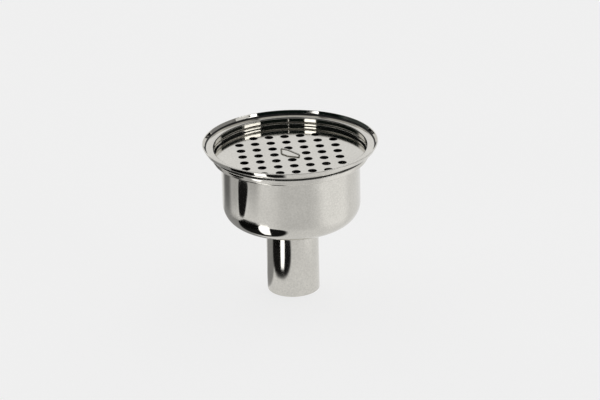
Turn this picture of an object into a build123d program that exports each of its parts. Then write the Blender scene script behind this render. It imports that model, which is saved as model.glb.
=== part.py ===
from build123d import *
import os
from math import hypot, radians, sin, tan

# Round floor drain in stainless sheet: flange ring, stepped bowl, outlet tube, strainer and bell trap.
# Millimetres, +Z up, origin at the centre of the outlet tube's lower end.

# Sheet and tube
sheet = 1.2
tube_outer_radius = 25.0
tube_wall = 1.5
tube_drop = 70.5
tube_hole_clearance = 0.1
tube_edge_radius = 0.4
weld_leg = 1.2

# Bowl: outside radius, outside corner, and height from its underside to the strainer's seat
bowl_outer_radius = 65.5
bowl_corner_radius = 19.0
bowl_height = 65.0

# Stepped mouth of the bowl: the ledge that carries the strainer, and the wall round it
seat_width = 7.7
mouth_rise = 4.0
seat_bend_radius = 0.5
seat_edge_radius = 2.0

# Flange ring: its collar carries on the mouth's wall and is joggled out to lap it; its lip turns up and out
lap = 1.8
lap_clearance = 0.1
joggle_rise = 0.2
joggle_bend_radius = 0.3
flange_height = 10.6
collar_bend_radius = 0.3
flange_width = 9.3
lip_rise = 4.1
lip_angle = 68.0
lip_bend_radius = 1.5
lip_edge_radius = 0.35

# Strainer plate
plate_thickness = 1.5
plate_clearance = 0.3
plate_edge_radius = 0.4
hole_radius = 4.0
hole_pitch = 15.0
hole_rows = 7

# Wire bow that lifts the strainer: a steep back leg, a low crown and a long slope to the front leg
wire_radius = 0.9
bow_height = 3.3
bow_back_height = 2.8
bow_front_height = 1.5
bow_crown_shift = 3.0
bow_bend_radius = 1.2
bow_crown_radius = 8.0

# Bell trap over the inlet of the outlet tube, with the water's way up between them
riser_width = 15.8
bell_wall = 1.2
bell_corner_radius = 9.2
bell_drop = 8.0
bell_headroom = 12.0
skirt_gap = 10.0

# Notched fins that hang the bell on the tube
fin_count = 3
fin_thickness = 1.5
fin_reach = 3.0
fin_depth = 8.0
fin_clearance = 0.2

# Heights that the pieces share
bowl_underside_z = tube_drop
floor_z = bowl_underside_z + sheet
seat_z = bowl_underside_z + bowl_height
plate_top_z = seat_z + plate_thickness
mouth_top_z = seat_z + mouth_rise
lap_end_z = mouth_top_z - lap
joggle_foot_z = mouth_top_z + joggle_rise
flange_z = seat_z + flange_height
lip_top_z = flange_z + lip_rise
bell_top_z = seat_z - bell_drop
bell_ceiling_z = bell_top_z - bell_wall
tube_top_z = bell_ceiling_z - bell_headroom
skirt_z = floor_z + skirt_gap

# Radii that the pieces share
tube_inner_radius = tube_outer_radius - tube_wall
bowl_inner_radius = bowl_outer_radius - sheet
mouth_outer_radius = bowl_outer_radius + seat_width
mouth_inner_radius = mouth_outer_radius - sheet
collar_inner_radius = mouth_inner_radius
lap_inner_radius = mouth_outer_radius + lap_clearance
lip_outer_radius = mouth_outer_radius + flange_width
plate_radius = mouth_inner_radius - seat_bend_radius - plate_clearance
bell_inner_radius = tube_outer_radius + riser_width
bell_outer_radius = bell_inner_radius + bell_wall

# The lip's inner face leans outward, so its top edge lies one sheet inside the outer radius
lip_top_radius = lip_outer_radius - sheet * sin(radians(lip_angle))
lip_foot_radius = lip_top_radius - lip_rise / tan(radians(lip_angle))

# The joggle leans at 45 degrees, so it is as high as it is wide
joggle_top_z = joggle_foot_z + lap_inner_radius - collar_inner_radius

os.makedirs("parts", exist_ok=True)

# Flange ring: upper face drawn from the lip over the collar to its joggled skirt, thickened outward and turned
with BuildPart() as flange_ring:
    with BuildSketch(Plane.XZ):
        with BuildLine():
            FilletPolyline(
                (lip_top_radius, lip_top_z),
                (lip_foot_radius, flange_z),
                (collar_inner_radius, flange_z),
                (collar_inner_radius, joggle_top_z),
                (lap_inner_radius, joggle_foot_z),
                (lap_inner_radius, lap_end_z),
                radius=[
                    lip_bend_radius,
                    sheet + collar_bend_radius,
                    sheet + joggle_bend_radius,
                    joggle_bend_radius,
                ],
            )
            offset(amount=sheet, side=Side.LEFT)
        make_face()
    revolve(axis=Axis.Z)
    fillet(flange_ring.edges().sort_by(Axis.Z)[-2:], lip_edge_radius)
flange_ring.part.label = "flange_ring"
export_step(flange_ring.part, "parts/flange_ring.step")

# Bowl: inner face drawn from the mouth over the seat and the floor to the tube's hole
with BuildPart() as bowl:
    with BuildSketch(Plane.XZ):
        with BuildLine():
            FilletPolyline(
                (mouth_inner_radius, mouth_top_z),
                (mouth_inner_radius, seat_z),
                (bowl_inner_radius, seat_z),
                (bowl_inner_radius, floor_z),
                (tube_outer_radius + tube_hole_clearance, floor_z),
                radius=[seat_bend_radius, seat_edge_radius, bowl_corner_radius - sheet],
            )
            offset(amount=sheet, side=Side.LEFT)
        make_face()
    revolve(axis=Axis.Z)
bowl.part.label = "bowl"
export_step(bowl.part, "parts/bowl.step")

# Outlet tube: passes through the floor and stands up inside the bowl as the trap's overflow,
# with a weld bead against the floor's underside
with BuildPart() as outlet_tube:
    with BuildSketch(Plane.XY):
        Circle(tube_outer_radius)
        Circle(tube_inner_radius, mode=Mode.SUBTRACT)
    extrude(amount=tube_top_z)
    fillet(outlet_tube.edges().group_by(Axis.Z)[-1], tube_edge_radius)
    with BuildSketch(Plane.XZ):
        with BuildLine():
            Polyline(
                (tube_outer_radius, bowl_underside_z),
                (tube_outer_radius + weld_leg, bowl_underside_z),
                (tube_outer_radius, bowl_underside_z - weld_leg),
                close=True,
            )
        make_face()
    revolve(axis=Axis.Z)
outlet_tube.part.label = "outlet_tube"
export_step(outlet_tube.part, "parts/outlet_tube.step")

# Strainer: a disc with a square grid of holes over the open bowl, bare in the middle under the bow
hole_limit = bowl_inner_radius - seat_edge_radius - hole_radius
hole_places = [
    place.position
    for place in GridLocations(hole_pitch, hole_pitch, hole_rows, hole_rows)
    if hole_pitch / 2 < hypot(place.position.X, place.position.Y) < hole_limit
]
with BuildPart() as strainer_plate:
    with BuildSketch(Plane.XY.offset(seat_z)):
        Circle(plate_radius)
        with Locations(*hole_places):
            Circle(hole_radius, mode=Mode.SUBTRACT)
    extrude(amount=plate_thickness)
    outer_edge = strainer_plate.edges().filter_by(GeomType.CIRCLE).group_by(SortBy.RADIUS)[-1]
    fillet(outer_edge.sort_by(Axis.Z)[-1], plate_edge_radius)
strainer_plate.part.label = "strainer_plate"
export_step(strainer_plate.part, "parts/strainer_plate.step")

# Lifting bow: one bent wire whose feet stand between the holes, on a diagonal of the grid
bow_half_span = hypot(hole_pitch / 2, hole_pitch / 2)
bow_plane = Plane(origin=(0, 0, plate_top_z), x_dir=(1, -1, 0), z_dir=(-1, -1, 0))
with BuildPart() as lift_bow:
    with BuildLine(bow_plane) as bow_path:
        FilletPolyline(
            (-bow_half_span, 0),
            (-bow_half_span, bow_back_height),
            (-bow_crown_shift, bow_height),
            (bow_half_span, bow_front_height),
            (bow_half_span, 0),
            radius=[bow_bend_radius, bow_crown_radius, bow_bend_radius],
        )
    with BuildSketch(Plane(origin=bow_path.line @ 0, z_dir=(0, 0, 1))):
        Circle(wire_radius)
    sweep(path=bow_path.line)
lift_bow.part.label = "lift_bow"
export_step(lift_bow.part, "parts/lift_bow.step")

# Trap bell: a drawn cup hung upside down over the tube, its skirt dipping below the tube's top
with BuildPart() as trap_bell:
    with BuildSketch(Plane.XZ):
        with BuildLine():
            FilletPolyline(
                (0, bell_top_z),
                (bell_outer_radius, bell_top_z),
                (bell_outer_radius, skirt_z),
                radius=bell_corner_radius,
            )
            offset(amount=bell_wall, side=Side.RIGHT)
        make_face()
    revolve(axis=Axis.Z)
trap_bell.part.label = "trap_bell"
export_step(trap_bell.part, "parts/trap_bell.step")

# Bell fins: notched strips on the bell's wall that sit on the tube's top and centre the bell
fin_inner_radius = tube_inner_radius - fin_reach
fin_notch_radius = tube_outer_radius + fin_clearance
fin_outer_radius = bell_inner_radius - fin_clearance
fin_top_z = bell_ceiling_z - (bell_corner_radius - bell_wall)
for number in range(fin_count):
    fin_plane = Plane.XZ.rotated((0, 0, 360 / fin_count * number))
    with BuildPart() as bell_fin:
        with BuildSketch(fin_plane):
            with BuildLine():
                Polyline(
                    (fin_inner_radius, tube_top_z),
                    (fin_notch_radius, tube_top_z),
                    (fin_notch_radius, tube_top_z - fin_depth),
                    (fin_outer_radius, tube_top_z - fin_depth),
                    (fin_outer_radius, fin_top_z),
                    (fin_inner_radius, fin_top_z),
                    close=True,
                )
            make_face()
        extrude(amount=fin_thickness / 2, both=True)
    bell_fin.part.label = f"bell_fin_{number + 1}"
    export_step(bell_fin.part, f"parts/bell_fin_{number + 1}.step")
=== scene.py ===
import logging
import math
from dataclasses import dataclass, replace
from enum import Enum
from typing import Any

import bmesh
import bpy
from bpy.types import ID, Material, Mesh, NodeSocket, NodeTree, Object
from mathutils import Matrix, Quaternion, Vector


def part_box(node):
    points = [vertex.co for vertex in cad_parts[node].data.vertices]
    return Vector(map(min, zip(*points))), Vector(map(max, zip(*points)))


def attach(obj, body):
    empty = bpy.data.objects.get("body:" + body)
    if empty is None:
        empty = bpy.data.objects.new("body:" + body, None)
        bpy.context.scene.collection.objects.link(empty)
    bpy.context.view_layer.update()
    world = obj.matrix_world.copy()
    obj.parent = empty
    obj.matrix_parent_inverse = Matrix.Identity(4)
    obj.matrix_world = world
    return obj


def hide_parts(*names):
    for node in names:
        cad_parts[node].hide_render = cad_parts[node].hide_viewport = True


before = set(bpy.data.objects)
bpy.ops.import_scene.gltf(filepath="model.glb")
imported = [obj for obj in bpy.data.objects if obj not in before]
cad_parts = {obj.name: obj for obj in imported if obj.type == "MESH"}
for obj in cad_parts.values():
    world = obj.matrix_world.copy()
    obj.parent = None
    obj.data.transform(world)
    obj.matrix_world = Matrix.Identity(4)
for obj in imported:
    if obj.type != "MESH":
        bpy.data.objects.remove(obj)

LOG = logging.getLogger("floor_drain")
MM = 0.001
BODY = "root"
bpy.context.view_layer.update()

Span = tuple[float, float]
Colour = tuple[float, float, float, float]

# The Mix node's sockets for colours, whose names its other sockets share
MIX_SHARE, MIX_FIRST, MIX_SECOND, MIX_RESULT = 0, 6, 7, 2

# The middle of a noise texture's values
NOISE_MIDDLE = 0.5

# Points of a piece that are closer than this become one
WELD_REACH = 0.002 * MM

# A face is level where its normal is at least this upright
LEVEL = 0.99999

# Rounded corners of a section: the flat stretch held beside a bend, and the steps round it
HOLD_SHARE = 0.5
HOLD_LENGTH = 0.2 * MM
SLACK_SHARE = 0.3
SMALL_BEND = 1.0 * MM
SMALL_BEND_STEPS = 6
LEAST_STEPS = 5
STEP_DEGREES = 4.0

# The least rounding inside a bend, as a share of the cut edge's
LEAST_BEND_SHARE = 0.1


def grey(level: float) -> Colour:
    """Gives an opaque grey."""
    return level, level, level, 1.0


class Wire:
    """A node's output that takes part in Python expressions."""

    def __init__(self, graph: "Graph", socket: NodeSocket) -> None:
        """Holds the socket and the graph that it belongs to."""
        self.graph = graph
        self.socket = socket

    def out(self, name: str | int) -> "Wire":
        """Gives another output of the same node."""
        return Wire(self.graph, self.socket.node.outputs[name])

    def math(self, operation: str, *values: "Wire | float") -> "Wire":
        """Adds one Math node with these inputs, in order."""
        return self.graph.add("ShaderNodeMath", {"operation": operation}, dict(enumerate(values)))

    def toward(self, goal: "Wire | float", share: "Wire") -> "Wire":
        """Goes a share of the way from this value to a goal."""
        return self + share * (goal - self)

    def __add__(self, other: "Wire | float") -> "Wire":
        """Adds."""
        return self.math("ADD", self, other)

    def __radd__(self, other: float) -> "Wire":
        """Adds, with the number first."""
        return self.math("ADD", other, self)

    def __sub__(self, other: "Wire | float") -> "Wire":
        """Subtracts."""
        return self.math("SUBTRACT", self, other)

    def __rsub__(self, other: float) -> "Wire":
        """Subtracts from a number."""
        return self.math("SUBTRACT", other, self)

    def __mul__(self, other: "Wire | float") -> "Wire":
        """Multiplies."""
        return self.math("MULTIPLY", self, other)

    def __rmul__(self, other: float) -> "Wire":
        """Multiplies, with the number first."""
        return self.math("MULTIPLY", other, self)

    def __truediv__(self, other: "Wire | float") -> "Wire":
        """Divides."""
        return self.math("DIVIDE", self, other)

    def __rtruediv__(self, other: float) -> "Wire":
        """Divides a number."""
        return self.math("DIVIDE", other, self)


class Graph:
    """A node tree that is filled from Python expressions."""

    def __init__(self, tree: NodeTree) -> None:
        """Clears the tree and holds it."""
        tree.nodes.clear()
        self.tree = tree

    def add(
        self,
        kind: str,
        settings: dict[str, Any] | None = None,
        inputs: dict[str | int, Any] | None = None,
        output: str | int = 0,
    ) -> Wire:
        """Adds a node of any kind.

        Args:
            kind: the node's type.
            settings: its properties, which are set first.
            inputs: values or links for its sockets, by name or place.
            output: the output to give back.

        Returns:
            That output.
        """
        node = self.tree.nodes.new(kind)
        for name, value in (settings or {}).items():
            setattr(node, name, value)
        for key, value in (inputs or {}).items():
            if isinstance(value, Wire):
                self.tree.links.new(value.socket, node.inputs[key])
            else:
                node.inputs[key].default_value = value
        return Wire(self, node.outputs[output])

    def sink(self, kind: str, inputs: dict[str | int, Wire]) -> None:
        """Adds a node without outputs, such as the tree's own output.

        Args:
            kind: the node's type.
            inputs: links for its sockets.
        """
        node = self.tree.nodes.new(kind)
        for key, value in inputs.items():
            self.tree.links.new(value.socket, node.inputs[key])

    def ease(self, value: Wire, start: float, end: float, low: float = 0.0, high: float = 1.0) -> Wire:
        """Goes smoothly from low to high, as a value goes from start to end."""
        ends = {"Value": value, "From Min": start, "From Max": end, "To Min": low, "To Max": high}
        return self.add("ShaderNodeMapRange", {"interpolation_type": "SMOOTHSTEP"}, ends)

    def band(self, value: Wire, low: float, high: float, soft: float) -> Wire:
        """Gives 1 where a value lies between low and high, and fades to 0 outside them."""
        return self.ease(value, low - soft, low) * self.ease(value, high, high + soft, 1.0, 0.0)

    def split(self, vector: Wire) -> tuple[Wire, Wire, Wire]:
        """Splits a vector into its three parts."""
        first = self.add("ShaderNodeSeparateXYZ", {}, {0: vector})
        return first, first.out(1), first.out(2)

    def vector(self, *parts: Wire | float) -> Wire:
        """Makes a vector of its three parts."""
        return self.add("ShaderNodeCombineXYZ", {}, dict(enumerate(parts)))

    def blend(self, share: Wire, first: Wire | Colour, second: Wire | Colour) -> Wire:
        """Mixes a share of the second colour into the first."""
        ends = {MIX_SHARE: share, MIX_FIRST: first, MIX_SECOND: second}
        return self.add("ShaderNodeMix", {"data_type": "RGBA"}, ends, MIX_RESULT)

    def noise(self, vector: Wire, scale: float, detail: float, distortion: float = 0.0) -> Wire:
        """Adds a noise texture, which gives values from 0 to 1."""
        values = {"Vector": vector, "Scale": scale, "Detail": detail, "Distortion": distortion}
        return self.add("ShaderNodeTexNoise", {}, values, "Fac")


def new_material(name: str) -> tuple[Material, Graph]:
    """Starts a material.

    Args:
        name: the material's name.

    Returns:
        The material and its empty graph.
    """
    made = bpy.data.materials.new(name)
    made.use_nodes = True
    return made, Graph(made.node_tree)


def show(name: str, data: ID) -> Object:
    """Puts a mesh or a camera into the scene.

    Args:
        name: the object's name.
        data: what the object holds.

    Returns:
        The object, at the origin.
    """
    made = bpy.data.objects.new(name, data)
    bpy.context.scene.collection.objects.link(made)
    return made


@dataclass(frozen=True)
class Spot:
    """A spot on a piece: its coordinates, their level part, its distance from the axis and its height."""

    whole: Wire
    flat: Wire
    reach: Wire
    height: Wire

    @classmethod
    def read(cls, graph: Graph) -> "Spot":
        """Reads the spot in a material.

        Args:
            graph: the material's nodes.

        Returns:
            The spot, in object coordinates.
        """
        whole = graph.add("ShaderNodeTexCoord", output="Object")
        x, y, height = graph.split(whole)
        flat = graph.vector(x, y, 0.0)
        reach = graph.add("ShaderNodeVectorMath", {"operation": "LENGTH"}, {0: flat}, "Value")
        return cls(whole, flat, reach, height)


class Grain(Enum):
    """The way in which polishing lines run, with how densely the noise is read along them."""

    # Round the drain's axis
    SPUN = 0.002
    # Along the sheet
    ROLLED = 0.02
    # Along the wire
    DRAWN = 0.03


@dataclass(frozen=True)
class PaintedShade:
    """A ring of painted shade on a piece, darker and also rougher, where shade falls in a crease, seam or
    hollow, by distance from the axis and height.
    """

    near: float
    far: float
    low: float
    high: float
    fade: float = 0.1 * MM
    tone: float = 0.06
    roughness: float = 0.5

    def mask(self, graph: Graph, spot: Spot) -> Wire:
        """Works out how much painted shade a spot gets: 0 on polished steel and 1 inside the ring."""
        across = graph.band(spot.reach, self.near, self.far, self.fade)
        return across * graph.band(spot.height, self.low, self.high, self.fade)


@dataclass(frozen=True)
class SteelFinish:
    """Stainless steel with mottling, polishing lines and slight unevenness."""

    name: str
    slot: str
    grain: Grain
    tint: tuple[float, float, float] = (0.68, 0.662, 0.615)
    shade: float = 0.86
    tone_span: Span = (0.34, 0.66)
    roughness: float = 0.10
    smear: float = 0.05
    mottle_scale: float = 620.0
    mottle_share: float = 0.65
    cloud_scale: float = 0.05
    line_scale: float = 2600.0
    line_depth: float = 0.03
    line_share: float = 0.25
    wave_depth: float = 0.05
    wave_reach: float = 0.1 * MM
    spun_slope: float = 0.7
    drawn_turn: float = math.radians(45.0)
    # Rings of painted shade, where the finish is darkened and roughened
    painted_shade: tuple[PaintedShade, ...] = ()

    def stretched(self, graph: Graph, spot: Spot) -> Wire:
        """Works out where the polishing lines are read.

        Args:
            graph: the material's nodes.
            spot: the spot on the piece.

        Returns:
            Coordinates that are stretched along the lines.
        """
        dense = self.grain.value
        if self.grain is Grain.SPUN:
            way = graph.add("ShaderNodeVectorMath", {"operation": "NORMALIZE"}, {0: spot.flat})
            x, y = graph.split(way)[:2]
            return graph.vector(x * dense, y * dense, self.spun_slope * spot.reach + spot.height)
        turn = self.drawn_turn if self.grain is Grain.DRAWN else 0.0
        laid = {"Vector": spot.whole, "Rotation": (0.0, 0.0, turn), "Scale": (dense, 1.0, 1.0)}
        return graph.add("ShaderNodeMapping", {}, laid)

    def material(self) -> Material:
        """Builds the finish as a procedural material.

        Returns:
            The material.
        """
        made, graph = new_material(self.name)
        spot = Spot.read(graph)
        mottle = graph.noise(spot.whole, self.mottle_scale, detail=4.0, distortion=0.4)
        broad = self.mottle_scale * self.cloud_scale
        cloud = graph.noise(spot.whole, broad, detail=3.0, distortion=0.2)
        lines = graph.noise(self.stretched(graph, spot), self.line_scale, detail=3.0)
        mixed = mottle * self.mottle_share + cloud * (1.0 - self.mottle_share)
        pale = (*self.tint, 1.0)
        dark = (*(part * self.shade for part in self.tint), 1.0)
        colour = graph.blend(graph.ease(mixed, *self.tone_span), dark, pale)
        rough = self.roughness + (cloud - NOISE_MIDDLE) * self.smear
        rough = rough + (lines - NOISE_MIDDLE) * self.line_depth
        # Painted shade: each ring darkens the colour towards its grey and makes the steel rougher
        for ring in self.painted_shade:
            share = ring.mask(graph, spot)
            colour = graph.blend(share, colour, grey(ring.tone))
            rough = rough.toward(ring.roughness, share)
        relief = lines * self.line_share + mottle
        ridges = {"Strength": self.wave_depth, "Distance": self.wave_reach, "Height": relief}
        normal = graph.add("ShaderNodeBump", {}, ridges)
        steel = {"Base Color": colour, "Metallic": 1.0, "Roughness": rough, "Normal": normal}
        shader = graph.add("ShaderNodeBsdfPrincipled", {}, steel)
        graph.sink("ShaderNodeOutputMaterial", {"Surface": shader})
        return made


@dataclass(frozen=True)
class Corner:
    """A corner of a turned section: distance from the axis, height and rounding."""

    r: float
    z: float
    bend: float = 0.0

    @property
    def point(self) -> Vector:
        """Gives the corner as a point of the section's plane."""
        return Vector((self.r, self.z))


def left_of(way: Vector) -> Vector:
    """Gives the direction to the left of another."""
    return Vector((-way.y, way.x))


def sheet_section(face: list[Corner], gauge: float, cut: float) -> list[Corner]:
    """Closes one face of a bent sheet into the sheet's section.

    Args:
        face: the corners of one face, from end to end.
        gauge: the sheet's thickness, to the left of the face, or to the right if it is negative.
        cut: the rounding of the sheet's cut edges.

    Returns:
        The corners round the section.
    """
    ways = [(b.point - a.point).normalized() for a, b in zip(face, face[1:])]
    near = [Corner(c.r, c.z, c.bend or cut) for c in face]
    far: list[Corner] = []
    for number, corner in enumerate(face):
        before = ways[max(number - 1, 0)]
        after = ways[min(number, len(ways) - 1)]
        turn = before.x * after.y - before.y * after.x
        mitre = (left_of(before) + left_of(after)) / (1.0 + before.dot(after))
        spot = corner.point + mitre * gauge
        bend = max(corner.bend - math.copysign(gauge, turn * gauge), LEAST_BEND_SHARE * cut)
        far.append(Corner(spot.x, spot.y, bend if 0 < number < len(face) - 1 else cut))
    return near + far[::-1]


def rounded(corners: list[Corner], closed: bool = True) -> list[Vector]:
    """Rounds the corners of a section.

    Args:
        corners: the corners in order.
        closed: whether the last corner joins the first.

    Returns:
        Points along the section; a closed one repeats its first point.
    """
    points: list[Vector] = []
    count = len(corners)
    for number, corner in enumerate(corners):
        ends = not closed and number in (0, count - 1)
        if ends or corner.bend <= 0.0:
            points.append(corner.point)
            continue
        before = corners[number - 1].point - corner.point
        after = corners[(number + 1) % count].point - corner.point
        turn = math.pi - before.angle(after)
        reach = corner.bend * math.tan(turn / 2)
        slack = min(before.length, after.length) - reach
        hold = max(min(HOLD_SHARE * corner.bend + HOLD_LENGTH, SLACK_SHARE * slack), 0.0)
        middle = (before.normalized() + after.normalized()).normalized()
        centre = corner.point + middle * (corner.bend / math.cos(turn / 2))
        start = corner.point + before.normalized() * reach
        steps = SMALL_BEND_STEPS
        if corner.bend > SMALL_BEND:
            steps = max(LEAST_STEPS, round(math.degrees(turn) / STEP_DEGREES))
        spoke = start - centre
        side = math.copysign(1.0, spoke.y * before.x - spoke.x * before.y)
        points.append(start + before.normalized() * hold)
        for step in range(steps + 1):
            swing = Matrix.Rotation(side * turn * step / steps, 2)
            points.append(centre + swing @ spoke)
        points.append(points[-1] + after.normalized() * hold)
    return points + points[:1] if closed else points


def line_through(name: str, spots: list[tuple[float, float, float]]) -> Mesh:
    """Joins spots into a line.

    Args:
        name: the line's name.
        spots: its points, in order.

    Returns:
        The line as a mesh without faces.
    """
    line = bpy.data.meshes.new(name)
    joins = [(number, number + 1) for number in range(len(spots) - 1)]
    line.from_pydata(spots, joins, [])
    return line


class Tree(Graph):
    """A Geometry Nodes tree with named inputs, which makes plain meshes."""

    def __init__(self, name: str, lengths: tuple[str, ...], counts: tuple[str, ...]) -> None:
        """Starts the tree, with its geometry as the first input and its material as the last.

        Args:
            name: the tree's name.
            lengths: the names of its inputs for lengths.
            counts: the names of its inputs for whole numbers.
        """
        super().__init__(bpy.data.node_groups.new(name, "GeometryNodeTree"))
        kinds = {"Geometry": "NodeSocketGeometry"}
        kinds |= dict.fromkeys(lengths, "NodeSocketFloat")
        kinds |= dict.fromkeys(counts, "NodeSocketInt")
        kinds |= {"Material": "NodeSocketMaterial"}
        face = self.tree.interface
        self.names: dict[str, str] = {}
        for label, kind in kinds.items():
            socket = face.new_socket(label, in_out="INPUT", socket_type=kind)
            self.names[label] = socket.identifier
        face.new_socket("Geometry", in_out="OUTPUT", socket_type=kinds["Geometry"])
        self.entry = self.add("NodeGroupInput")

    def __getitem__(self, label: str) -> Wire:
        """Gives one of the tree's inputs."""
        return self.entry.out(label)

    def hoop(self, sides: Wire, radius: Wire) -> Wire:
        """Makes a circle."""
        return self.add("GeometryNodeCurvePrimitiveCircle", {}, {"Resolution": sides, "Radius": radius})

    def join(self, *parts: Wire) -> Wire:
        """Joins several geometries into one.

        Args:
            parts: the geometries.

        Returns:
            The joined geometry.
        """
        joined = self.add("GeometryNodeJoinGeometry")
        for part in parts:
            self.tree.links.new(part.socket, joined.socket.node.inputs[0])
        return joined

    def round_grid(self, sides: Wire, rows: Wire | int) -> tuple[Wire, Wire, Wire]:
        """Starts a surface round the axis: a grid whose columns go round it.

        Args:
            sides: steps round the axis.
            rows: points in each column.

        Returns:
            The flat grid, and the row and the angle of each of its points.
        """
        counts = {"Vertices X": sides + 1.0, "Vertices Y": rows}
        grid = self.add("GeometryNodeMeshGrid", {}, counts, "Mesh")
        index = self.add("GeometryNodeInputIndex")
        row = index.math("FLOORED_MODULO", index, rows)
        column = index.math("FLOOR", (index + 0.5) / rows)
        return grid, row, column / sides * math.tau

    def bend_round(self, grid: Wire, reach: Wire, swing: Wire, height: Wire) -> Wire:
        """Puts the points of a grid round the axis.

        Args:
            grid: the flat grid.
            reach: each point's distance from the axis.
            swing: its angle.
            height: its height.

        Returns:
            The surface.
        """
        across, along = swing.math("COSINE", swing), swing.math("SINE", swing)
        spot = self.vector(reach * across, reach * along, height)
        return self.add("GeometryNodeSetPosition", {}, {"Geometry": grid, "Position": spot})

    def end(self, geometry: Wire) -> None:
        """Ends the tree: realizes instances, joins doubles, shades smooth and sets the material.

        Args:
            geometry: what the tree has made.
        """
        real = self.add("GeometryNodeRealizeInstances", {}, {0: geometry})
        welded = {"Geometry": real, "Distance": WELD_REACH}
        whole = self.add("GeometryNodeMergeByDistance", {}, welded)
        smooth = self.add("GeometryNodeSetShadeSmooth", {}, {0: whole})
        coat = {"Geometry": smooth, "Material": self["Material"]}
        self.sink("NodeGroupOutput", {0: self.add("GeometryNodeSetMaterial", {}, coat)})

    def grow(self, name: str, seed: Mesh, sizes: dict[str, Any]) -> Object:
        """Runs the tree and keeps its result as a plain mesh.

        Args:
            name: the new object's name.
            seed: the mesh that goes into the tree.
            sizes: the tree's inputs by name.

        Returns:
            The object at the origin, with faces outward and no modifier.
        """
        made = show(name, seed)
        modifier = made.modifiers.new("grow", "NODES")
        modifier.node_group = self.tree
        for label, size in sizes.items():
            modifier[self.names[label]] = size
        depsgraph = bpy.context.evaluated_depsgraph_get()
        mesh = bpy.data.meshes.new_from_object(made.evaluated_get(depsgraph), depsgraph=depsgraph)
        made.modifiers.clear()
        made.data = mesh
        mesh.name = name
        bpy.data.meshes.remove(seed)
        shell = bmesh.new()
        shell.from_mesh(mesh)
        bmesh.ops.recalc_face_normals(shell, faces=shell.faces)
        shell.to_mesh(mesh)
        shell.free()
        return made


class Lathe:
    """Turns a section round the drain's axis with a Geometry Nodes tree."""

    def __init__(self) -> None:
        """Builds the tree: a grid whose rows follow the section and whose columns go round."""
        self.tree = tree = Tree("turn_section", (), ("Segments",))
        section = tree["Geometry"]
        rows = tree.add("GeometryNodeAttributeDomainSize", {}, {0: section}, "Point Count")
        grid, row, swing = tree.round_grid(tree["Segments"], rows)
        spot = tree.add("GeometryNodeInputPosition")
        reading = {"Geometry": section, "Value": spot, "Index": row}
        sample = tree.add("GeometryNodeSampleIndex", {"data_type": "FLOAT_VECTOR"}, reading)
        reach, _, height = tree.split(sample)
        tree.end(tree.bend_round(grid, reach, swing, height))

    def turn(self, name: str, section: list[Vector], segments: int, steel: Material) -> Object:
        """Turns a section, given as distances from the axis and heights, into a piece."""
        line = line_through(name, [(point.x, 0.0, point.y) for point in section])
        return self.tree.grow(name, line, {"Segments": segments, "Material": steel})


def adopt(piece: Object, node: str) -> None:
    """Puts a piece in the place of its CAD node.

    Args:
        piece: the finished piece.
        node: the CAD node that it stands for.
    """
    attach(piece, BODY)
    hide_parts(node)
    LOG.info("%s: %d faces in place of %s", piece.name, len(piece.data.polygons), node)


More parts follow.
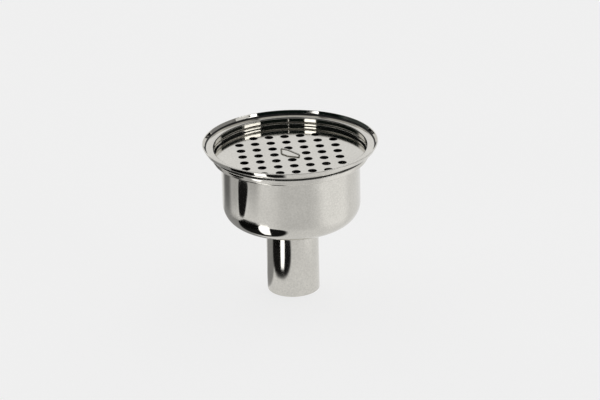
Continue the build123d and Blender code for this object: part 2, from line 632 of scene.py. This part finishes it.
@dataclass
class FlangeRing:
    """The ring on the bowl's mouth: an upturned lip, a flat bed, and a collar joggled to lap the mouth."""

    lathe: Lathe
    gauge: float = 1.2 * MM
    lip_angle: float = math.radians(67.0)
    lip_bend: float = 1.5 * MM
    lip_edge: float = 0.35 * MM
    bed_rise: float = 8.4 * MM
    inner_bend: float = 0.3 * MM
    joggle_foot: float = 2.0 * MM
    lap_gap: float = 0.1 * MM
    cut_edge: float = 0.2 * MM
    segments: int = 288
    # Painted shade, darker and rougher, under the bed, in the crease at the lip's foot and at the collar's
    # edge
    shade_skin: float = 0.1 * MM
    shade_beside_mouth: float = 0.36 * MM
    shade_inside_rim: float = 2.4 * MM
    shade_before_foot: float = 0.7 * MM
    shade_behind_foot: float = 0.5 * MM
    shade_foot_tone: float = 0.04
    shade_edge_width: float = 0.5 * MM
    shade_edge_drop: float = 0.7 * MM
    finish: SteelFinish = SteelFinish(
        "polished_flange_steel", "polished_flange", Grain.SPUN, roughness=0.035, smear=0.02, wave_depth=0.015
    )

    def section(self) -> list[Corner]:
        """Works out the ring's section from the frame.

        Returns:
            The corners round the section.
        """
        low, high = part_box("flange_ring")
        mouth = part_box("bowl")[1].x
        collar, lap = mouth - self.gauge, mouth + self.lap_gap
        bed = low.z + self.bed_rise
        top = high.z + self.lip_edge * (math.sin(self.lip_angle) + math.cos(self.lip_angle) - 1.0)
        lip = high.x - self.gauge * math.sin(self.lip_angle)
        foot = lip - (top - bed) / math.tan(self.lip_angle)
        step = low.z + self.joggle_foot
        bend = self.gauge + self.inner_bend
        face = [
            Corner(lip, top),
            Corner(foot, bed, self.lip_bend),
            Corner(collar, bed, bend),
            Corner(collar, step + lap - collar, bend),
            Corner(lap, step, self.inner_bend),
            Corner(lap, low.z),
        ]
        corners = sheet_section(face, self.gauge, self.cut_edge)
        for end in (0, -1):
            corners[end] = replace(corners[end], bend=self.lip_edge)
        return corners

    def painted_shade(self) -> tuple[PaintedShade, ...]:
        """Works out where shade is painted on the ring.

        Returns:
            Rings of painted shade under its bed, in the crease at the lip's foot and at the collar's edge.
        """
        low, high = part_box("flange_ring")
        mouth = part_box("bowl")[1].x
        collar = mouth - self.gauge
        bed = low.z + self.bed_rise
        under = bed - self.gauge
        foot = high.x - self.gauge - (high.z - bed) / math.tan(self.lip_angle)
        skin = self.shade_skin
        near, far = mouth + self.shade_beside_mouth, high.x - self.shade_inside_rim
        # Painted shade under the bed, in the lip's foot and at the collar's edge, with rougher steel there
        below = PaintedShade(near, far, under - skin, under + skin)
        near, far = foot - self.shade_before_foot, foot + self.shade_behind_foot
        inside = PaintedShade(near, far, bed - skin, bed + self.lip_bend, tone=self.shade_foot_tone)
        edge = PaintedShade(collar, collar + self.shade_edge_width, bed - self.shade_edge_drop, bed + skin)
        return below, inside, edge

    def build(self) -> None:
        """Turns the ring and dresses it, with painted shade under its bed, at the lip's foot and at the
        collar's edge.
        """
        finish = replace(self.finish, painted_shade=self.painted_shade())
        section = rounded(self.section())
        piece = self.lathe.turn("flange_ring_turned", section, self.segments, finish.material())
        adopt(piece, "flange_ring")


@dataclass
class Bowl:
    """The drawn bowl with its stepped mouth."""

    lathe: Lathe
    gauge: float = 1.2 * MM
    seat_width: float = 7.7 * MM
    mouth_rise: float = 4.0 * MM
    seat_bend: float = 0.5 * MM
    seat_edge: float = 2.0 * MM
    corner: float = 19.0 * MM
    tube_hole: float = 25.1 * MM
    cut_edge: float = 0.25 * MM
    segments: int = 288
    # How far the painted shade in the seam reaches above the strainer's top
    shade_over_plate: float = 0.7 * MM
    finish: SteelFinish = SteelFinish(
        "polished_bowl_steel", "polished_bowl", Grain.SPUN, roughness=0.055, smear=0.03, wave_depth=0.025
    )

    def section(self) -> list[Corner]:
        """Works out the bowl's section from the frame.

        Returns:
            The corners round the section.
        """
        low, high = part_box("bowl")
        mouth = high.x - self.gauge
        wall = mouth - self.seat_width
        seat = high.z - self.mouth_rise
        floor = low.z + self.gauge
        face = [
            Corner(mouth, high.z),
            Corner(mouth, seat, self.seat_bend),
            Corner(wall, seat, self.seat_edge),
            Corner(wall, floor, self.corner - self.gauge),
            Corner(self.tube_hole, floor),
        ]
        return sheet_section(face, self.gauge, self.cut_edge)

    def build(self) -> None:
        """Turns the bowl and dresses it, with painted shade in the seam where the strainer's rim meets the
        mouth.
        """
        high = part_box("bowl")[1]
        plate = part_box("strainer_plate")[1]
        seat, over = high.z - self.mouth_rise, plate.z + self.shade_over_plate
        # Painted shade, with rougher steel, in the seam between the strainer's rim and the mouth's wall
        foot = PaintedShade(plate.x, high.x - self.gauge / 2, seat, over)
        finish = replace(self.finish, painted_shade=(foot,))
        section = rounded(self.section())
        piece = self.lathe.turn("bowl_turned", section, self.segments, finish.material())
        adopt(piece, "bowl")


@dataclass
class OutletTube:
    """The straight tube that stands up through the bowl's floor, with its weld bead."""

    lathe: Lathe
    gauge: float = 1.5 * MM
    weld_leg: float = 1.2 * MM
    weld_toe: float = 1.8 * MM
    weld_edge: float = 0.1 * MM
    edge: float = 0.4 * MM
    segments: int = 192
    finish: SteelFinish = SteelFinish("polished_tube_steel", "polished_tube", Grain.SPUN)

    def section(self) -> list[Corner]:
        """Works out the tube's section from the frame.

        Returns:
            The corners round the section.
        """
        low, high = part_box("outlet_tube")
        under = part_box("bowl")[0].z
        outer = high.x - self.weld_leg
        inner = outer - self.gauge
        return [
            Corner(inner, low.z, self.edge),
            Corner(outer, low.z, self.edge),
            Corner(outer, under - self.weld_leg, self.weld_toe),
            Corner(high.x, under, self.weld_edge),
            Corner(outer, under),
            Corner(outer, high.z, self.edge),
            Corner(inner, high.z, self.edge),
        ]

    def build(self) -> None:
        """Turns the tube and dresses it."""
        section = rounded(self.section())
        piece = self.lathe.turn("outlet_tube_turned", section, self.segments, self.finish.material())
        adopt(piece, "outlet_tube")


@dataclass
class Strainer:
    """The lift-out disc with a square grid of punched holes."""

    hole_radius: float = 4.0 * MM
    pitch: float = 15.0 * MM
    rows: int = 7
    bare_middle: float = 7.5 * MM
    hole_limit: float = 57.5 * MM
    roll: float = 0.3 * MM
    rim_roll: float = 0.4 * MM
    wall_rows: int = 13
    hole_segments: int = 40
    rim_segments: int = 256
    # Painted shade on the walls of the holes and at the rim, darker and rougher
    shade_over_foot: float = 0.1 * MM
    shade_under_face: float = 0.02 * MM
    shade_fade: float = 0.01 * MM
    shade_rim: float = 0.6 * MM
    finish: SteelFinish = SteelFinish(
        "strainer_steel", "strainer_sheet", Grain.ROLLED, roughness=0.09, mottle_scale=540.0
    )

    def sleeve(self, tree: Tree, reach: Wire, sign: float, sides: Wire, roll: Wire) -> Wire:
        """Makes a wall round a hole or the rim, rolled over at the top.

        Args:
            tree: the tree.
            reach: the wall's radius.
            sign: 1 where the roll opens outward from the wall, -1 where it closes inward.
            sides: steps round the wall.
            roll: the radius of the rolled edge.

        Returns:
            The wall's mesh.
        """
        grid, row, swing = tree.round_grid(sides, self.wall_rows)
        share = row / (self.wall_rows - 1)
        bow = share.math("MINIMUM", share * 2.0, 1.0) * (math.pi / 2)
        drop = share.math("MAXIMUM", share * 2.0 - 1.0, 0.0)
        out = reach + sign * roll * (1.0 - bow.math("SINE", bow))
        crest = tree["Top"] - roll * (1.0 - bow.math("COSINE", bow))
        height = crest - drop * (tree["Gauge"] - roll)
        return tree.bend_round(grid, out, swing, height)

    def face(self, tree: Tree, spots: Wire, hole: Wire, rim: Wire, height: Wire) -> Wire:
        """Fills the disc between its rim and its holes.

        Args:
            tree: the tree.
            spots: the middles of the holes.
            hole: the holes' radius in this face.
            rim: the disc's radius in this face.
            height: where the face lies.

        Returns:
            The flat face.
        """
        hoop = tree.hoop(tree["Hole Segments"], hole)
        hoops = tree.add("GeometryNodeInstanceOnPoints", {}, {"Points": spots, "Instance": hoop})
        real = tree.add("GeometryNodeRealizeInstances", {}, {0: hoops})
        border = tree.hoop(tree["Rim Segments"], rim)
        filled = tree.add("GeometryNodeFillCurve", {}, {"Curve": tree.join(real, border)})
        lift = tree.vector(0.0, 0.0, height)
        return tree.add("GeometryNodeSetPosition", {}, {"Geometry": filled, "Offset": lift})

    def tree(self) -> Tree:
        """Builds the tree that pierces the disc.

        Returns:
            The tree.
        """
        holes = ("Pitch", "Bare Middle", "Hole Limit", "Hole Radius", "Roll")
        disc = ("Disc Radius", "Rim Roll", "Top", "Gauge")
        tree = Tree("pierce_disc", holes + disc, ("Rows", "Hole Segments", "Rim Segments"))
        rows, top, gauge = tree["Rows"], tree["Top"], tree["Gauge"]
        span = tree["Pitch"] * (rows - 1.0)
        square = {"Size X": span, "Size Y": span, "Vertices X": rows, "Vertices Y": rows}
        grid = tree.add("GeometryNodeMeshGrid", {}, square, "Mesh")
        spot = tree.add("GeometryNodeInputPosition")
        reach = tree.add("ShaderNodeVectorMath", {"operation": "LENGTH"}, {0: spot}, "Value")
        near = reach.math("LESS_THAN", reach, tree["Bare Middle"])
        far = reach.math("GREATER_THAN", reach, tree["Hole Limit"])
        spots = tree.add("GeometryNodeDeleteGeometry", {}, {"Geometry": grid, "Selection": near + far})
        hole, roll = tree["Hole Radius"], tree["Roll"]
        rim, rim_roll = tree["Disc Radius"], tree["Rim Roll"]
        upper = self.face(tree, spots, hole + roll, rim - rim_roll, top)
        under = self.face(tree, spots, hole, rim, top - gauge)
        wall = self.sleeve(tree, hole, 1.0, tree["Hole Segments"], roll)
        walls = tree.add("GeometryNodeInstanceOnPoints", {}, {"Points": spots, "Instance": wall})
        edge = self.sleeve(tree, rim, -1.0, tree["Rim Segments"], rim_roll)
        tree.end(tree.join(upper, under, walls, edge))
        return tree

    def build(self) -> None:
        """Pierces the disc, keeps its faces flat and dresses it, with painted shade in its holes and at its
        rim.
        """
        low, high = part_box("strainer_plate")
        foot, top = low.z + self.shade_over_foot, high.z - self.shade_under_face
        # Painted shade on the holes' walls and on the rim beside the bowl's wall, with rougher steel there
        holes = PaintedShade(0.0, high.x, foot, top, fade=self.shade_fade)
        rim = PaintedShade(high.x - self.shade_rim, high.x, low.z, high.z)
        finish = replace(self.finish, painted_shade=(holes, rim))
        sizes = {
            "Pitch": self.pitch, "Bare Middle": self.bare_middle, "Hole Limit": self.hole_limit,
            "Hole Radius": self.hole_radius, "Roll": self.roll, "Disc Radius": high.x,
            "Rim Roll": self.rim_roll, "Top": high.z, "Gauge": high.z - low.z, "Rows": self.rows,
            "Hole Segments": self.hole_segments, "Rim Segments": self.rim_segments,
            "Material": finish.material(),
        }
        piece = self.tree().grow("strainer_pierced", bpy.data.meshes.new("strainer"), sizes)
        keep_flats(piece.data)
        adopt(piece, "strainer_plate")


def keep_flats(mesh: Mesh) -> None:
    """Splits the shading along the edges of level faces, so that they mirror as planes.

    Args:
        mesh: the mesh to mark.
    """
    shell = bmesh.new()
    shell.from_mesh(mesh)
    for edge in shell.edges:
        level = [abs(face.normal.z) > LEVEL for face in edge.link_faces]
        edge.smooth = all(level) or not any(level)
    shell.to_mesh(mesh)
    shell.free()


@dataclass
class LiftBow:
    """The bent wire that lifts the strainer: a steep back leg, a low crown and a slope to the front leg."""

    wire_radius: float = 0.9 * MM
    back_height: float = 2.8 * MM
    front_height: float = 1.5 * MM
    crown_height: float = 3.3 * MM
    crown_shift: float = 3.0 * MM
    bend: float = 1.2 * MM
    crown_bend: float = 8.0 * MM
    turn: float = math.radians(-45.0)
    half_span: float = math.hypot(Strainer.pitch / 2, Strainer.pitch / 2)
    bend_steps: int = 12
    wire_sides: int = 24
    sharp_from: float = math.radians(40.0)
    finish: SteelFinish = SteelFinish("bow_wire_steel", "bow_wire", Grain.DRAWN, roughness=0.13)

    def tree(self) -> Tree:
        """Builds the tree that bends the wire along its corners.

        Returns:
            The tree.
        """
        tree = Tree("bend_wire", ("Wire",), ("Bend Steps", "Wire Sides"))
        path = tree.add("GeometryNodeMeshToCurve", {}, {"Mesh": tree["Geometry"]})
        bend = tree.add("GeometryNodeInputNamedAttribute", {"data_type": "FLOAT"}, {"Name": "bend"})
        rounding = {"Curve": path, "Radius": bend, "Count": tree["Bend Steps"]}
        eased = tree.add("GeometryNodeFilletCurve", {"mode": "POLY"}, rounding)
        hoop = tree.hoop(tree["Wire Sides"], tree["Wire"])
        swept = {"Curve": eased, "Profile Curve": hoop, "Fill Caps": True}
        tree.end(tree.add("GeometryNodeCurveToMesh", {}, swept))
        return tree

    def corners(self) -> Mesh:
        """Lays out the wire's corners, each with its bend.

        Returns:
            A line from the back foot to the front foot.
        """
        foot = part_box("lift_bow")[0].z
        back, front = -self.half_span, self.half_span
        path = [
            Corner(back, 0.0),
            Corner(back, self.back_height, self.bend),
            Corner(-self.crown_shift, self.crown_height, self.crown_bend),
            Corner(front, self.front_height, self.bend),
            Corner(front, 0.0),
        ]
        across, along = math.cos(self.turn), math.sin(self.turn)
        spots = [(spot.r * across, spot.r * along, foot + spot.z) for spot in path]
        line = line_through("bow", spots)
        bends = line.attributes.new("bend", "FLOAT", "POINT")
        bends.data.foreach_set("value", [spot.bend for spot in path])
        return line

    def build(self) -> None:
        """Bends the wire and dresses it."""
        sizes = {
            "Wire": self.wire_radius, "Bend Steps": self.bend_steps, "Wire Sides": self.wire_sides,
            "Material": self.finish.material(),
        }
        piece = self.tree().grow("lift_bow_bent", self.corners(), sizes)
        piece.data.set_sharp_from_angle(angle=self.sharp_from)
        adopt(piece, "lift_bow")


@dataclass
class BellTrap:
    """The bell over the tube's top and the notched fins that hang it there."""

    lathe: Lathe
    wall: float = 1.2 * MM
    corner: float = 9.2 * MM
    cut_edge: float = 0.25 * MM
    segments: int = 192
    # Painted shade: a tint far darker than the other pieces' steel, for the unlit inside of the bowl below
    # the strainer's holes
    finish: SteelFinish = SteelFinish(
        "trap_steel_painted_shade", "trap_sheet", Grain.SPUN, tint=(0.2, 0.195, 0.185), shade=0.8,
        roughness=0.3, smear=0.1, line_depth=0.1,
    )

    def section(self) -> list[Corner]:
        """Works out the bell's section from the frame.

        Returns:
            The corners from the crown's top to its underside.
        """
        low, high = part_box("trap_bell")
        face = [Corner(0.0, high.z), Corner(high.x, high.z, self.corner), Corner(high.x, low.z)]
        return sheet_section(face, -self.wall, self.cut_edge)

    def build(self) -> None:
        """Turns the bell, dresses it in the darkened finish of painted shade and gives the fins the same
        finish.
        """
        steel, section = self.finish.material(), rounded(self.section(), closed=False)
        piece = self.lathe.turn("trap_bell_turned", section, self.segments, steel)
        adopt(piece, "trap_bell")
        for name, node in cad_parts.items():
            if name.startswith("bell_fin"):
                node.data.materials.clear()
                node.data.materials.append(steel)
                LOG.info("%s: CAD shape with the trap's finish", name)


@dataclass(frozen=True)
class Viewpoint:
    """Where the camera stands and what it looks at."""

    azimuth: float = math.radians(-6.5)
    elevation: float = math.radians(21.9)
    distance: float = 2.175
    lens: float = 138.9
    sensor: float = 36.0
    roll: float = math.radians(-1.5)
    frame_size: tuple[int, int] = (600, 400)
    middle_at: Span = (290.3, 153.8)

    def around(self, azimuth: float, reach: float, height: float) -> Vector:
        """Gives a place by its bearing from the camera's side, in radians and positive to its right."""
        swing = self.azimuth + azimuth
        return Vector((math.sin(swing) * reach, -math.cos(swing) * reach, height))

    def build(self) -> None:
        """Makes the camera, so that the strainer's middle falls where the picture has it."""
        target = Vector((0.0, 0.0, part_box("strainer_plate")[1].z))
        back = self.around(0.0, math.cos(self.elevation), math.sin(self.elevation))
        focal = self.lens / self.sensor * self.frame_size[0]
        right = (self.middle_at[0] - self.frame_size[0] / 2) / focal
        up = (self.frame_size[1] / 2 - self.middle_at[1]) / focal
        shift = Vector((right, up, -1.0)).rotation_difference(Vector((0.0, 0.0, -1.0)))
        tilt = Quaternion((0.0, 0.0, 1.0), self.roll)
        lens = bpy.data.cameras.new("camera")
        lens.lens, lens.sensor_width = self.lens, self.sensor
        camera = show("camera", lens)
        camera.location = target + back * self.distance
        camera.rotation_mode = "QUATERNION"
        camera.rotation_quaternion = (-back).to_track_quat("-Z", "Y") @ tilt @ shift
        bpy.context.scene.camera = camera
        LOG.info("camera at %s", tuple(round(part, 3) for part in camera.location))


@dataclass(frozen=True)
class Window:
    """A patch of light or dark in the studio's wall, by bearing and elevation in degrees."""

    name: str
    bearing: Span
    rise: Span
    level: float
    soft: float

    def mask(self, graph: Graph, bearing: Wire, rise: Wire) -> Wire:
        """Works out how much of the patch a direction sees: 0 outside it and 1 inside it."""
        across = graph.band(bearing, *self.bearing, self.soft)
        return across * graph.band(rise, *self.rise, self.soft)


@dataclass(frozen=True)
class Card:
    """A card on the studio floor that shows in the polish alone, by bearing in degrees and reach."""

    name: str
    bearing: Span
    reach: Span
    level: float
    height: float
    soft: float = 0.15
    square: float = 3.0
    taper: float = 0.0
    lean: float = 0.0
    columns: int = 48
    rows: int = 16

    def shape(self, view: Viewpoint) -> Mesh:
        """Lays out the card, with how far each point is covered.

        Args:
            view: the camera, from which bearings are taken.

        Returns:
            The card's mesh, rounded and with a soft edge.
        """
        mesh = bpy.data.meshes.new(self.name)
        left, right = self.bearing
        near, far = self.reach
        spots: list[Vector] = []
        faces: list[tuple[int, ...]] = []
        covers: list[float] = []
        for column in range(self.columns + 1):
            for row in range(self.rows + 1):
                share, depth = column / self.columns, row / self.rows
                width = (right - left) * (1.0 - self.taper * (1.0 - depth))
                middle = (left + right) / 2 + self.lean * (depth - 0.5)
                bearing = math.radians(middle + width * (share - 0.5))
                spots.append(view.around(bearing, near + (far - near) * depth, self.height))
                across, along = abs(2.0 * share - 1.0), abs(2.0 * depth - 1.0)
                edge = (across**self.square + along**self.square) ** (1.0 / self.square)
                covers.append(max(min((1.0 - edge) / self.soft, 1.0), 0.0))
                if column < self.columns and row < self.rows:
                    first = column * (self.rows + 1) + row
                    beside = first + self.rows + 1
                    faces.append((first, beside, beside + 1, first + 1))
        mesh.from_pydata(spots, [], faces)
        cover = mesh.attributes.new("cover", "FLOAT", "POINT")
        cover.data.foreach_set("value", covers)
        return mesh

    def build(self, view: Viewpoint) -> None:
        """Makes the card and keeps it out of the picture.

        Args:
            view: the camera, from which bearings are taken.
        """
        made, graph = new_material(self.name)
        amount = graph.add("ShaderNodeAttribute", {"attribute_name": "cover"}, {}, "Fac")
        glow = graph.add("ShaderNodeEmission", {}, {"Color": grey(self.level)})
        clear = graph.add("ShaderNodeBsdfTransparent")
        layers = {0: graph.ease(amount, 0.0, 1.0), 1: clear, 2: glow}
        mixed = graph.add("ShaderNodeMixShader", {}, layers)
        graph.sink("ShaderNodeOutputMaterial", {"Surface": mixed})
        card = show(self.name, self.shape(view))
        card.data.materials.append(made)
        card.visible_camera = card.visible_diffuse = card.visible_shadow = False


@dataclass
class Studio:
    """A pale table in a soft-lit studio, with the dark side and the windows that the polish mirrors.

    Levels are the walls' brightness, and spans are where one passes into the next, in degrees of
    elevation, or of bearing from the camera's side. Cards that overlap differ in height.
    """

    view: Viewpoint
    floor_reach: float = 6.0
    floor_sides: int = 96
    floor_tone: float = 0.25
    floor_roughness: float = 0.9
    floor_glow: float = 0.757
    dark: float = 0.008
    horizon: float = 0.30
    left: float = 0.06
    right: float = 0.28
    flank: float = 0.65
    backdrop: float = 0.92
    loft: float = 0.09
    roof: float = 0.36
    ceiling: float = 0.60
    dark_rise: Span = (13.5, 17.0)
    loft_rise: Span = (26.0, 33.0)
    flank_rise: Span = (26.0, 36.0)
    roof_rise: Span = (30.0, 38.0)
    ceiling_rise: Span = (82.0, 88.0)
    middle_bearing: Span = (-30.0, 30.0)
    side_bearing: Span = (62.0, 88.0)
    backdrop_bearing: Span = (124.0, 136.0)
    roof_bearing: Span = (138.0, 156.0)
    cool_below: float = 0.1
    cool_red: float = 0.55
    cool_blue: float = 0.85
    windows: tuple[Window, ...] = (
        Window("right_dark", (60.0, 127.0), (18.4, 24.0), level=0.006, soft=1.2),
        Window("left_dark", (-121.0, -60.0), (18.4, 24.0), level=0.006, soft=1.2),
        Window("left_lamp", (-40.0, -23.5), (19.0, 23.0), level=3.2, soft=1.0),
        Window("right_panel", (57.5, 76.0), (14.0, 19.6), level=0.85, soft=1.6),
        Window("right_lamp", (45.5, 72.5), (20.9, 24.5), level=3.2, soft=0.4),
        Window("slit", (1.3, 1.6), (20.0, 22.4), level=3.0, soft=0.3),
        Window("skylight", (-66.0, 66.0), (63.0, 71.0), level=0.8, soft=3.0),
    )
    cards: tuple[Card, ...] = (
        Card("front_shade", (-34.0, 48.0), (0.060, 0.700), 0.70, 1.0 * MM, soft=0.6),
        Card("right_glow", (36.0, 104.0), (0.060, 0.700), 1.05, 1.1 * MM, soft=0.5),
        Card("left_shade", (-78.0, -44.0), (0.240, 0.700), 0.52, 1.2 * MM, soft=0.6),
        Card("rear_shade", (-147.0, -97.0), (0.020, 0.750), 0.16, 1.0 * MM, soft=0.8, square=4.0),
        Card("tube_shade", (-142.0, -76.0), (0.000, 0.260), 0.31, 1.4 * MM, soft=0.3, square=8.0),
        Card("side_shade", (-112.0, -84.0), (0.200, 0.700), 0.50, 1.3 * MM, soft=0.5),
        Card("left_flag", (-94.0, -67.0), (0.248, 0.378), 0.01, 2.0 * MM, soft=0.2, taper=0.5, lean=4.0),
        Card("collar_flag", (-96.0, -64.0), (0.370, 0.460), 0.01, 2.1 * MM),
        Card("collar_strip", (-55.0, -37.0), (0.392, 0.460), 2.5, 2.2 * MM),
        Card("front_flag", (-93.0, -4.0), (0.052, 0.205), 0.01, 2.3 * MM, square=2.5),
        Card("corner_flag", (-90.0, -42.0), (0.120, 0.255), 0.004, 2.5 * MM, soft=0.1),
        Card("front_strip", (-50.5, -32.5), (0.074, 0.252), 1.9, 3.0 * MM, soft=0.1, square=4.0),
    )

    def floor(self) -> None:
        """Lays the pale table."""
        shell = bmesh.new()
        bmesh.ops.create_circle(shell, cap_ends=True, segments=self.floor_sides, radius=self.floor_reach)
        mesh = bpy.data.meshes.new("table")
        shell.to_mesh(mesh)
        shell.free()
        made, graph = new_material("pale_table")
        pale = {
            "Base Color": grey(self.floor_tone), "Roughness": self.floor_roughness,
            "Specular IOR Level": 0.0, "Emission Color": grey(1.0), "Emission Strength": self.floor_glow,
        }
        shader = graph.add("ShaderNodeBsdfPrincipled", {}, pale)
        graph.sink("ShaderNodeOutputMaterial", {"Surface": shader})
        mesh.materials.append(made)
        table = show("table", mesh)

    def sky(self) -> None:
        """Lights the studio: pale behind the drain, dark on the camera's side, with windows."""
        world = bpy.data.worlds.new("studio")
        bpy.context.scene.world = world
        world.use_nodes = True
        graph = Graph(world.node_tree)
        way = graph.add("ShaderNodeTexCoord", output="Generated")
        turn = {"Vector": way, "Angle": -self.view.azimuth}
        seen = graph.add("ShaderNodeVectorRotate", {"rotation_type": "Z_AXIS"}, turn)
        x, y, z = graph.split(seen)
        bearing = x.math("ARCTAN2", x, 0.0 - y) * math.degrees(1.0)
        rise = z.math("ARCSINE", z) * math.degrees(1.0)
        aside = bearing.math("ABSOLUTE", bearing)
        front = graph.ease(rise, *self.dark_rise, self.horizon, self.dark)
        front = front.toward(self.loft, graph.ease(rise, *self.loft_rise))
        side = graph.ease(bearing, *self.middle_bearing, self.left, self.right)
        side = side.toward(self.flank, graph.ease(rise, *self.flank_rise))
        level = front.toward(side, graph.ease(aside, *self.side_bearing))
        level = level.toward(self.backdrop, graph.ease(aside, *self.backdrop_bearing))
        high = graph.ease(rise, *self.roof_rise) * graph.ease(aside, *self.roof_bearing)
        level = level.toward(self.roof, high)
        level = level.toward(self.ceiling, graph.ease(rise, *self.ceiling_rise))
        for window in self.windows:
            level = level.toward(window.level, window.mask(graph, bearing, rise))
            LOG.info("%s: window of level %.3f", window.name, window.level)
        red = level * graph.ease(level, 0.0, self.cool_below, self.cool_red, 1.0)
        blue = level * graph.ease(level, 0.0, self.cool_below, self.cool_blue, 1.0)
        shade = graph.vector(red, level, blue)
        shader = graph.add("ShaderNodeBackground", {}, {"Color": shade})
        graph.sink("ShaderNodeOutputWorld", {"Surface": shader})

    def build(self) -> None:
        """Sets the table, the light and the cards."""
        self.floor()
        self.sky()
        for card in self.cards:
            card.build(self.view)
        settings = bpy.context.scene.view_settings
        settings.view_transform = "Standard"
        settings.look = "None"
        LOG.info("studio: %d cards on the table", len(self.cards))


def main() -> None:
    """Builds the drain, the camera and the studio in order."""
    logging.basicConfig(level=logging.INFO, format="%(name)s: %(message)s")
    lathe = Lathe()
    view = Viewpoint()
    view.build()
    turned = FlangeRing(lathe), Bowl(lathe), OutletTube(lathe)
    for piece in (*turned, Strainer(), LiftBow(), BellTrap(lathe)):
        piece.build()
    Studio(view).build()


if __name__ == "__main__":
    main()
